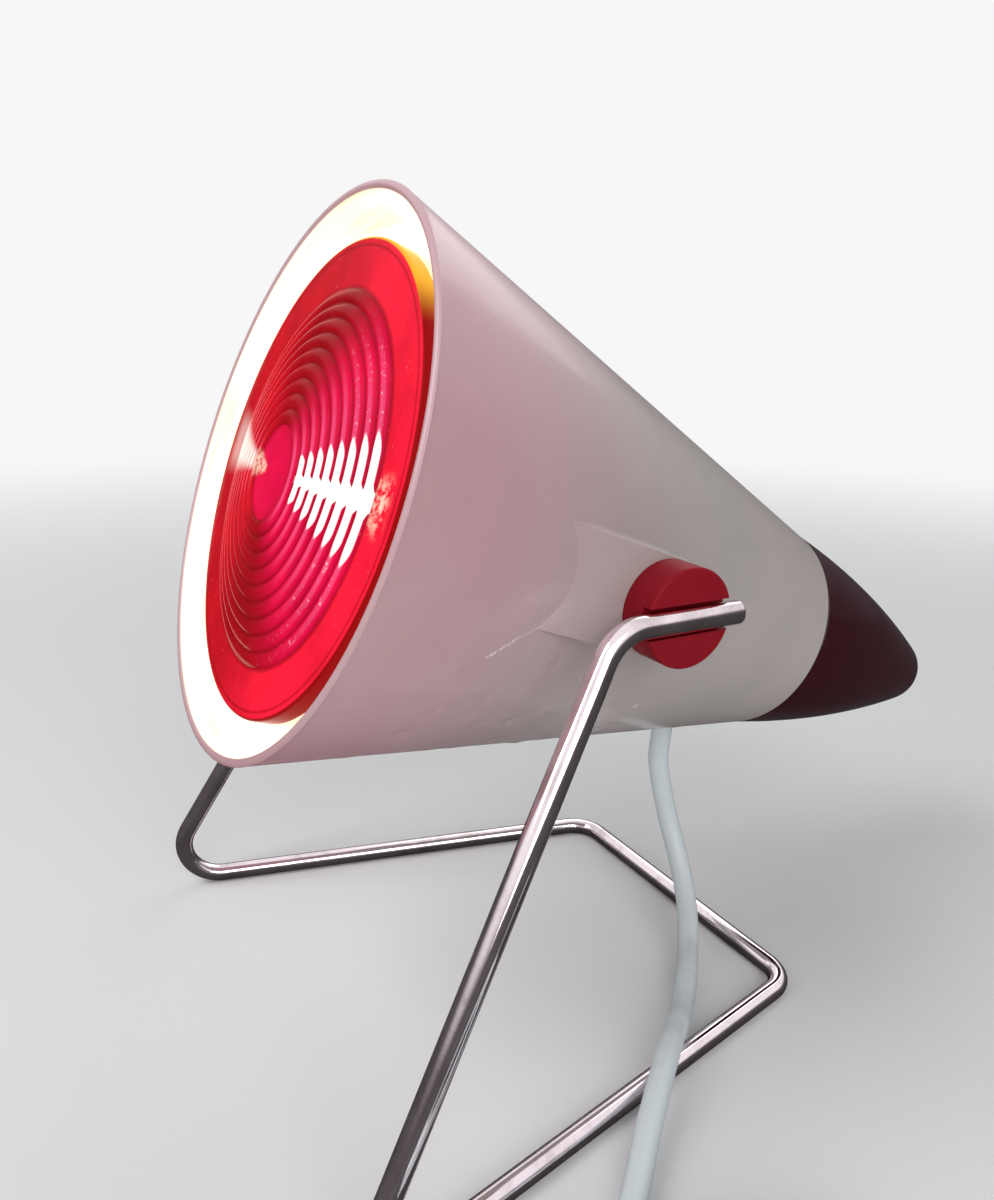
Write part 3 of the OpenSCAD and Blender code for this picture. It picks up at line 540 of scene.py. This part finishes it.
def pivot_pad(side):
    """The pad on one side of the shade, as rings round its outline: a half circle behind the pivot,
    straight sides and an end that lies under the cone. From the bore the rings cross the flat face,
    turn over a rounded edge, go down a side wall whose height falls to nothing in front, and end in a
    small fillet on the cone. Under the skin they return to the round inner boss."""
    half = np.linspace(0, np.pi, 64, endpoint=False)
    run = np.linspace(0, 1, 40, endpoint=False)
    end = np.linspace(-1, 1, 16, endpoint=False)
    y = boss_r * np.concatenate((np.cos(half), -1 + 0 * run, end, 1 + 0 * run))
    z = np.concatenate((-boss_r * np.sin(half), pad_end * run, pad_end + 0 * end, pad_end * (1 - run)))
    at_end = z > pad_end - 1e-9
    away = unit(np.column_stack((np.where(at_end, 0, y), np.where(z < 0, z, 0) + at_end)))
    spoke = unit(np.column_stack((y, z)))

    def skin_x(at):
        return np.sqrt(cone_r(at[:, 1]) ** 2 - at[:, 0] ** 2)

    def foot_x(at):
        return np.minimum(skin_x(at), pad_x)

    outline = np.column_stack((y, z))
    wall = np.maximum(pad_x - skin_x(outline), 0)[:, None]
    edge, spread = np.minimum(pad_edge_r, 0.3 * wall), np.minimum(pad_fillet_r, 0.5 * wall)
    bend = np.linspace(0, np.pi / 2, 8)
    rings = [(boss_bore_r * spoke, boss_inner_x + 0 * y), (boss_bore_r * spoke, pad_x + 0 * y)]
    rings += [(outline - away * edge * (1 - np.sin(t)), pad_x - edge[:, 0] * (1 - np.cos(t))) for t in bend]
    rings += [(fillet, foot_x(fillet) + spread[:, 0] * (1 - np.sin(t)))
              for t in bend for fillet in [outline + away * spread * (1 - np.cos(t))]]
    foot, root, inner = outline + away * spread, outline - away * pad_tuck, (boss_r - pad_tuck) * spoke
    rings += [(foot, foot_x(foot) - pad_foot_depth), (root, foot_x(root) - pad_root_depth),
              (inner, skin_x(inner) - boss_root_depth), (inner, boss_inner_x + 0 * y)]
    grid = np.array([np.column_stack((side * x, at)) for at, x in rings])
    return skin(f"pivot_pad_{'right' if side > 0 else 'left'}", in_head(grid), wrap_rows=True)


def head_place(finish):
    """The point of the surface in the head's frame, in metres."""
    turn_back = Matrix((sideways, upward, forward)).to_euler()
    shift = -np.array((sideways, upward, forward)) @ pivot
    return finish.add("Mapping", {"Vector": finish.place(), "Location": shift,
                                  "Rotation": turn_back}).outputs[0]


def polar(finish):
    """The distance from the head's axis, the distance in front of the pivot, and across and up."""
    x, y, z = finish.add("SeparateXYZ", {0: head_place(finish)}).outputs
    squares = finish.math("ADD", finish.times(x, x), finish.times(y, y))
    return finish.math("SQRT", squares), z, x, y


def streak(finish, point, start, end, width):
    """1 on the straight line from start to end and 0 further than width from it."""
    start, run = np.array(start), np.array(end) - np.array(start)
    offset = finish.add("VectorMath", {0: point, 1: start}, operation="SUBTRACT").outputs[0]
    along = finish.add("VectorMath", {0: offset, 1: run / (run @ run)}, operation="DOT_PRODUCT")
    along = finish.math("MINIMUM", finish.math("MAXIMUM", along.outputs["Value"], 0.0), 1.0)
    nearest = finish.add("VectorMath", {0: run, "Scale": along}, operation="SCALE").outputs[0]
    apart = finish.add("VectorMath", {0: offset, 1: nearest}, operation="DISTANCE").outputs["Value"]
    return finish.fade(apart, 0.2 * width, width, 1.0, 0.0)


# Marks on the near side: a broken scratch, the fainter trail above it and one pale speck.
scratch_start, scratch_end = (0.06068, -0.02145, 0.04306), (0.06109, -0.01594, 0.03763)
trail_end, speck_at = (0.0607, -0.01109, 0.03124), (0.04105, -0.02862, -0.02069)
scratch_w, trail_w, speck_w = 0.0007, 0.0005, 0.0011

off_white = Finish("shade_plastic", (0.52, 0.46, 0.45), 0.34, Coat_Weight=0.28, Coat_Roughness=0.12,
                   Emission_Strength=1.0)
axis_r, ahead, across_head, up_head = polar(off_white)
cloud = off_white.noise(14, 3, 0.55)
plain = off_white.mix(off_white.fade(cloud, 0.35, 0.65), (0.52, 0.465, 0.45), (0.46, 0.42, 0.40))
# Towards the mouth a pink is painted into the colour: the bulb's red light seen through the plastic.
painted_rim_glow = off_white.times(off_white.fade(ahead, -0.03, 0.074), off_white.fade(cloud, 0.2, 0.7, 0.55, 1.0))
colour_with_painted_glow = off_white.mix(painted_rim_glow, plain, (0.49, 0.325, 0.35))
in_head_place = head_place(off_white)
broken = off_white.fade(off_white.noise(1500, 2), 0.4, 0.55)
scratch = off_white.times(broken, streak(off_white, in_head_place, scratch_start, scratch_end, scratch_w))
trail = off_white.times(0.35, streak(off_white, in_head_place, scratch_end, trail_end, trail_w))
speck = streak(off_white, in_head_place, speck_at, np.add(speck_at, 0.0002), speck_w)
pale_marks = off_white.math("MAXIMUM", scratch, off_white.math("MAXIMUM", trail, speck))
colour_with_painted_glow = off_white.mix(off_white.times(pale_marks, 0.7), colour_with_painted_glow, (0.85, 0.82, 0.80))

# The bulb's light on the inner wall is painted as emission, yellow behind and pale near the mouth, in
# uneven bands that run round it, and a little painted red glow comes through to the outside.
inner_skin = off_white.math("SUBTRACT", off_white.times(ahead, float(np.tan(shade_slope))), axis_r)
inner_from, inner_full = (float(share * shade_skin - cone_r(0)) for share in (0.35, 0.7))
inside = off_white.times(off_white.fade(inner_skin, inner_from, inner_full),
                         off_white.fade(ahead, rim_z + 0.0009, rim_z + 0.0004))
painted_wall_light = off_white.mix(off_white.fade(ahead, 0.005, 0.045), (1.0, 0.62, 0.12), (1.12, 1.06, 0.88))
painted_wall_light = off_white.mix(off_white.fade(ahead, 0.069, 0.0775, 0.0, 0.4), painted_wall_light, (1.0, 0.92, 0.52))
bearing = off_white.math("ARCTAN2", up_head, across_head)
sweep = off_white.add("CombineXYZ", {0: off_white.times(bearing, 0.9), 1: off_white.times(ahead, 130.0)})
bands = off_white.noise(1.6, at=sweep.outputs[0])
painted_wall_light = off_white.mix(off_white.fade(bands, 0.50, 0.70, 0.0, 0.6), painted_wall_light, (1.0, 0.88, 0.34))
painted_glow_through_wall = off_white.mix(off_white.fade(ahead, 0.0, 0.0775), (0.0, 0.0, 0.0), (0.075, 0.008, 0.016))
off_white.set(off_white.shader, {"Base Color": colour_with_painted_glow,
                                 "Emission Color": off_white.mix(inside, painted_glow_through_wall, painted_wall_light)})
off_white.bump(off_white.noise(230, 3, 0.5), 0.00025, 0.45)
off_white.bump(off_white.noise(38, 2, 0.4), 0.0009, 0.25)

place_piece(shade, "head", "shade_white", off_white, "shade")
for side in (1, -1):
    place_piece(pivot_pad(side), "head", "shade_white", off_white)


# ---- Rear cap ----
# A glossy dark maroon cap pushed over the shade's neck until a bead clicks. Its side bows gently in
# and runs into a rounded nose; a fine shadow gap is left at the joint.
cap_length, cap_wall, cap_gap = 0.0923, 0.0024, 0.0005
nose_r, nose_turn = 0.0129, 21
cap_slope = np.radians(8.3)
cap_edge_r, cap_clearance = 0.0004, 0.0001
nose_centre = cap_length - nose_r
nose_start = nose_centre + nose_r * np.sin(np.radians(nose_turn))
nose_start_r = nose_r * np.cos(np.radians(nose_turn))
cap_bow = (joint_r - np.tan(cap_slope) * nose_start - nose_start_r) / nose_start ** 2


def cap_r(s):
    """The cap's outer radius at a distance s behind the joint: a straight slope and an even bow."""
    return joint_r - np.tan(cap_slope) * s - cap_bow * s * s


cap_s = np.linspace(cap_gap + cap_edge_r, nose_start, 60)
mouth_edge = arc((cap_r(cap_gap) - cap_edge_r, -cap_gap - cap_edge_r), cap_edge_r, 90, 0, 5)[:-1]
cap_outer = np.concatenate((mouth_edge, np.column_stack((cap_r(cap_s), -cap_s)),
                            arc((0, -nose_centre), nose_r, -nose_turn, -90, 24)[1:]))
inner_s = np.linspace(nose_centre, neck_length + cap_gap + cap_wall, 24)
socket_r = neck_r + cap_clearance
cap_inner = np.concatenate((arc((0, -nose_centre), nose_r - cap_wall, -90, -1, 12),
                            np.column_stack((cap_r(inner_s) - cap_wall, -inner_s)),
                            [(socket_r, -neck_length - cap_gap - cap_wall), (socket_r, -cap_gap)]))
cap_profile = np.concatenate((cap_outer, cap_inner)) - (0, joint_reach)
rear_cap = skin("rear_cap_moulding", in_head(turned(cap_profile, 144)), wrap_rows=True)
maroon = Finish("cap_maroon", (0.038, 0.004, 0.009), 0.2, Specular_IOR_Level=0.2, Coat_Weight=0.35,
                Coat_Roughness=0.05)
maroon.set(maroon.shader, {"Roughness": maroon.fade(maroon.noise(30, 5, 0.65), 0.3, 0.8, 0.12, 0.3)})
maroon.bump(maroon.noise(22, 1), 0.0012, 0.12)
place_piece(rear_cap, "head", "cap_maroon", maroon, "rear_cap")


# ---- Side knobs and their pivots ----
# Turned-looking knobs moulded in red plastic. The slot across each face takes the wire's end, and the
# spigot behind it turns in the shade's boss against a fibre washer and a disc spring.
knob_red = Finish("knob_plastic", (0.27, 0.003, 0.012), 0.48, Specular_IOR_Level=0.15)
scuff = knob_red.noise(120, 5, 0.7)
knob_red.set(knob_red.shader, {
    "Base Color": knob_red.mix(knob_red.fade(scuff, 0.62, 0.78), (0.27, 0.003, 0.012), (0.38, 0.02, 0.04)),
    "Roughness": knob_red.fade(scuff, 0.3, 0.7, 0.42, 0.58)})
knob_red.bump(knob_red.noise(800, 3), 0.00005, 0.4)
for side in ("right", "left"):
    place_piece(softened(f"knob_{side}", f"knob_{side}_moulding", 0.00025), "stand", "knob_red", knob_red,
                f"knob_{side}")
fibre = Finish("washer_fibre", (0.30, 0.15, 0.07), 0.8)
fibre.bump(fibre.noise(1200, 4), 0.00008)
steel = Finish("zinc_steel", (0.55, 0.56, 0.58), 0.32, Metallic=1.0)
steel.set(steel.shader, {"Roughness": steel.fade(steel.noise(300, 4), 0.3, 0.7, 0.25, 0.42)})
for side in ("right", "left"):
    dress(fibre, f"friction_washer_{side}")
    dress(steel, f"disc_spring_{side}", f"retaining_washer_{side}", f"pivot_screw_{side}")


# ---- Bulb ----
# A sealed 121 mm reflector bulb of ruby glass, lit. Its pressed lens domes forward over a plain eye
# and nine raised rings, inside a plain outer band. It screws into the holder behind the flange.
bulb_r, lens_z, lens_dome = 0.0607, 0.0743, 0.0065
lens_rings, ring_h = 9, 0.0007
eye_r, ring_end_r = 0.012, 0.048
ring_pitch = (ring_end_r - eye_r) / lens_rings
edge_r, side_h, seat_step_w, seat_step_h, back_h = 0.0008, 0.0046, 0.003, 0.0050, 0.0042


def lens_height(r):
    """The lens's front: a dome that ends at the plain outer band, with a half wave of a sine on it for
    each ring from the eye outwards."""
    wave = np.where((r > eye_r) & (r < ring_end_r), np.abs(np.sin(np.pi * (r - eye_r) / ring_pitch)), 0)
    return lens_z + lens_dome * np.maximum(0, 1 - (r / ring_end_r) ** 2) + ring_h * wave


lens_rows = np.concatenate((np.linspace(0, eye_r, 8),
                            np.linspace(eye_r, ring_end_r, lens_rings * 14 + 1)[1:],
                            np.linspace(ring_end_r, bulb_r - edge_r, 20)[1:]))
lens_front = np.column_stack((lens_rows, lens_height(lens_rows)))
lens_edge = arc((bulb_r - edge_r, lens_z - edge_r), edge_r, 90, 0, 10)[1:]
lens_back = [(bulb_r, lens_z - side_h), (bulb_r - seat_step_w, lens_z - seat_step_h), (0, lens_z - back_h)]
lens_profile = np.concatenate((lens_front, lens_edge, lens_back))
lens = skin("bulb_lens_glass", in_head(turned(lens_profile, 240)), sharp=70)

ruby = Finish("ruby_glass", (0.04, 0.001, 0.002), 0.08, IOR=1.2, Specular_IOR_Level=0.06,
              Emission_Strength=1.0)
axis_r, _, across_head, up_head = polar(ruby)
crest = ruby.math("SINE", ruby.times(ruby.math("SUBTRACT", axis_r, eye_r), np.pi / ring_pitch))
crest = ruby.math("ABSOLUTE", crest)
ridge = ruby.times(ruby.between(axis_r, eye_r, eye_r + 0.0006, ring_end_r - 0.0006, ring_end_r), crest)
cosine = ruby.math("DIVIDE", across_head, ruby.math("MAXIMUM", axis_r, 0.0001))

# The lit lens's glow is painted as emission: red where the glass is only lit through, magenta near
# the two beams, and painted shade across them, in the grooves between the rings and along the outer
# band's edges.
painted_shade_red, deep_red, bright_red = (0.37, 0.004, 0.009), (0.58, 0.007, 0.016), (1.0, 0.014, 0.045)
far_red, magenta = (0.70, 0.008, 0.022), (0.88, 0.006, 0.072)
painted_groove_shade, painted_line_shade = (0.22, 0.002, 0.005), (0.25, 0.002, 0.005)
near_half = ruby.fade(cosine, -0.4, 0.5)
beside_beams = ruby.fade(ruby.math("ABSOLUTE", cosine), 0.1, 0.9)
rings_colour = ruby.mix(beside_beams, painted_shade_red, ruby.mix(near_half, far_red, magenta))
rings_colour = ruby.mix(ruby.fade(crest, 0.75, 0.0, 0.0, 0.62), rings_colour, painted_groove_shade)
band_colour = ruby.mix(near_half, deep_red, bright_red)
band_line = ruby.fade(ruby.apart(axis_r, ring_end_r), 0.0002, 0.0013, 0.55, 0.0)
band_colour = ruby.mix(band_line, band_colour, painted_line_shade)
eye_colour = ruby.mix(ruby.fade(axis_r, eye_r - 0.003, eye_r, 0.0, 0.4), magenta, painted_shade_red)
# glass gathers the lens's painted glow, shade and highlights, all as its emission colour.
glass = ruby.mix(ruby.fade(axis_r, ring_end_r - 0.0004, ring_end_r + 0.0004), rings_colour, band_colour)
glass = ruby.mix(ruby.fade(axis_r, eye_r - 0.0003, eye_r + 0.0003), eye_colour, glass)
mottle = ruby.fade(ruby.noise(60, 5, 0.6), 0.3, 0.75, 0.82, 1.12)
mottle = ruby.add("CombineColor", {0: mottle, 1: mottle, 2: mottle}).outputs[0]
glass = ruby.mix(1.0, glass, mottle, "MULTIPLY")

# The two beams are painted reflections of the filament in the ridges.
# Each beam lies a small angle above the level line and fades over its half angle to both sides.
near_bearing, near_half_angle = 0.045, 0.36
far_bearing, far_half_angle = 0.07, 0.17
# Distances from the lens's middle at which each patch of light begins, is full, ebbs and has gone.
near_beam_span, blob_span = (0.0155, 0.0163, 0.0478, 0.0485), (0.0478, 0.0492, 0.052, 0.0575)
far_beam_span, patch_span = (0.012, 0.016, 0.054, 0.060), (0.003, 0.006, 0.012, 0.017)
from_near_side = ruby.math("ARCTAN2", up_head, across_head)
from_far_side = ruby.math("ARCTAN2", up_head, ruby.times(across_head, -1.0))
near_spread = ruby.math("DIVIDE", ruby.apart(from_near_side, near_bearing), near_half_angle)
far_spread = ruby.math("DIVIDE", ruby.apart(from_far_side, far_bearing), far_half_angle)
grain = ruby.noise(700, 4, 0.7)

# The near beam whitens the ridges over a ninth of a turn, and the grooves too along its middle. A soft
# blob of it lies on the outer band, and faint streaks and specks lie beside it.
white_from = ruby.math("ADD", ruby.fade(near_spread, 0.05, 0.24, -0.4, 0.46),
                       ruby.fade(near_spread, 0.62, 1.0, 0.0, 0.54))
near_beam = ruby.times(ruby.fade(ridge, white_from, ruby.math("ADD", white_from, 0.14)),
                       ruby.between(axis_r, *near_beam_span))
near_tail = ruby.times(ruby.fade(ridge, 0.72, 0.98), ruby.fade(near_spread, 0.9, 3.0, 0.5, 0.0))
blob = ruby.times(ruby.between(axis_r, *blob_span), ruby.fade(near_spread, 0.12, 0.42, 1.0, 0.0),
                  ruby.fade(ruby.noise(330, 3, 0.6), 0.42, 0.58))
specks = ruby.times(ruby.fade(ruby.noise(1100, 2), 0.71, 0.78), ruby.fade(axis_r, 0.030, 0.046, 0.0, 0.35))
streaks = ruby.times(ruby.fade(ridge, 0.75, 0.95), ruby.fade(grain, 0.56, 0.68),
                     ruby.fade(axis_r, 0.036, 0.040), ruby.fade(near_spread, 1.0, 3.6, 1.0, 0.0))

# The far beam is a fan of fine lines with a soft cream patch that runs on over the eye.
far_beam = ruby.times(ruby.between(axis_r, *far_beam_span), ruby.fade(ridge, 0.35, 0.9, 0.4, 1.0),
                      ruby.fade(far_spread, 0.35, 1.2, 1.0, 0.0))
far_tail = ruby.times(ruby.fade(ridge, 0.8, 1.0), ruby.fade(far_spread, 0.8, 4.0, 0.45, 0.0))
patch = ruby.times(ruby.between(axis_r, *patch_span), ruby.fade(far_spread, 0.8, 2.0, 1.0, 0.0),
                   ruby.fade(grain, 0.35, 0.6))
for share, tone in ((near_tail, (1.0, 0.16, 0.36)), (far_tail, (1.0, 0.22, 0.30)),
                    (patch, (1.0, 0.62, 0.46)), (blob, (1.0, 0.70, 0.52)), (specks, (1.0, 0.45, 0.50)),
                    (streaks, (1.0, 0.60, 0.66)), (far_beam, (1.1, 0.98, 0.88)),
                    (near_beam, (1.15, 1.08, 1.04))):
    glass = ruby.mix(share, glass, tone)

# A painted dark line of shade runs round near the edge, and the thin side has a painted yellow glow
# on the far side only.
edge_line = ruby.fade(ruby.apart(axis_r, bulb_r - 0.0022), 0.0, 0.0007, 0.55, 0.0)
glass = ruby.mix(edge_line, glass, painted_line_shade)
far_edge = ruby.math("SUBTRACT", ruby.times(up_head, 0.6), ruby.times(across_head, 0.8))
side_glow = ruby.mix(ruby.fade(far_edge, -0.012, 0.006), (0.28, 0.004, 0.004), (1.0, 0.50, 0.03))
glass = ruby.mix(ruby.fade(axis_r, bulb_r - 0.0009, bulb_r - 0.0004), glass, side_glow)
ruby.set(ruby.shader, {"Emission Color": glass})
ruby.bump(ruby.noise(120, 3), 0.0003, 0.3)
place_piece(lens, "bulb", "lens_red", ruby, "bulb_lens")

# The silvered back's faint orange glow is painted, for the light of the lit bulb.
silvered = Finish("silvered_glass", (0.75, 0.70, 0.62), 0.18, Metallic=0.8, Emission_Color=(1.0, 0.5, 0.1),
                  Emission_Strength=0.35)
silvered.bump(silvered.noise(90, 2), 0.0003, 0.4)
black_glass = Finish("black_glass", (0.015, 0.015, 0.016), 0.2)
black_glass.bump(black_glass.noise(300, 2), 0.0001, 0.5)
hot_wire = Finish("filament_wire", (0.2, 0.15, 0.1), 0.5, Emission_Color=(1.0, 0.62, 0.25),
                  Emission_Strength=4.0)
hot_wire.bump(hot_wire.noise(2500, 1), 0.0001)
dress(silvered, "bulb_reflector")
dress(nickel, "bulb_screw_shell", "filament_supports")
dress(black_glass, "bulb_insulator")
dress(steel, "bulb_contact")
dress(hot_wire, "bulb_filament")


# ---- Lamp holder, leads and cord anchorage ----
# A porcelain holder with a brass screw sleeve hangs from a steel strip on the shade's flange. The
# cord's two cores end at its terminals, and a clamp beside the bush takes the cord's pull.
porcelain = Finish("porcelain", (0.78, 0.74, 0.66), 0.16, Coat_Weight=0.6, Coat_Roughness=0.06)
porcelain.bump(porcelain.noise(90, 3), 0.0004, 0.3)
brass = Finish("brass", (0.72, 0.50, 0.20), 0.3, Metallic=1.0)
brass.set(brass.shader, {"Roughness": brass.fade(brass.noise(200, 4), 0.3, 0.7, 0.22, 0.42)})
clamp_grey = Finish("clamp_plastic", (0.10, 0.10, 0.105), 0.6)
clamp_grey.bump(clamp_grey.noise(600, 3), 0.0001)
brown_lead = Finish("lead_brown", (0.11, 0.04, 0.015), 0.5)
brown_lead.bump(brown_lead.noise(700, 2), 0.00005)
blue_lead = Finish("lead_blue", (0.015, 0.07, 0.32), 0.5)
blue_lead.bump(blue_lead.noise(700, 2), 0.00005)
dress(porcelain, "lamp_holder")
dress(brass, "screw_sleeve", "centre_contact", "terminal_screws")
dress(steel, "holder_bracket", "bracket_screws", "holder_screws", "clamp_screws")
dress(clamp_grey, "cord_clamp")
dress(brown_lead, "lead_live")
dress(blue_lead, "lead_neutral")
dress(plug_white, "cord_bush")
dress(cord_white, "cord_inner_end")
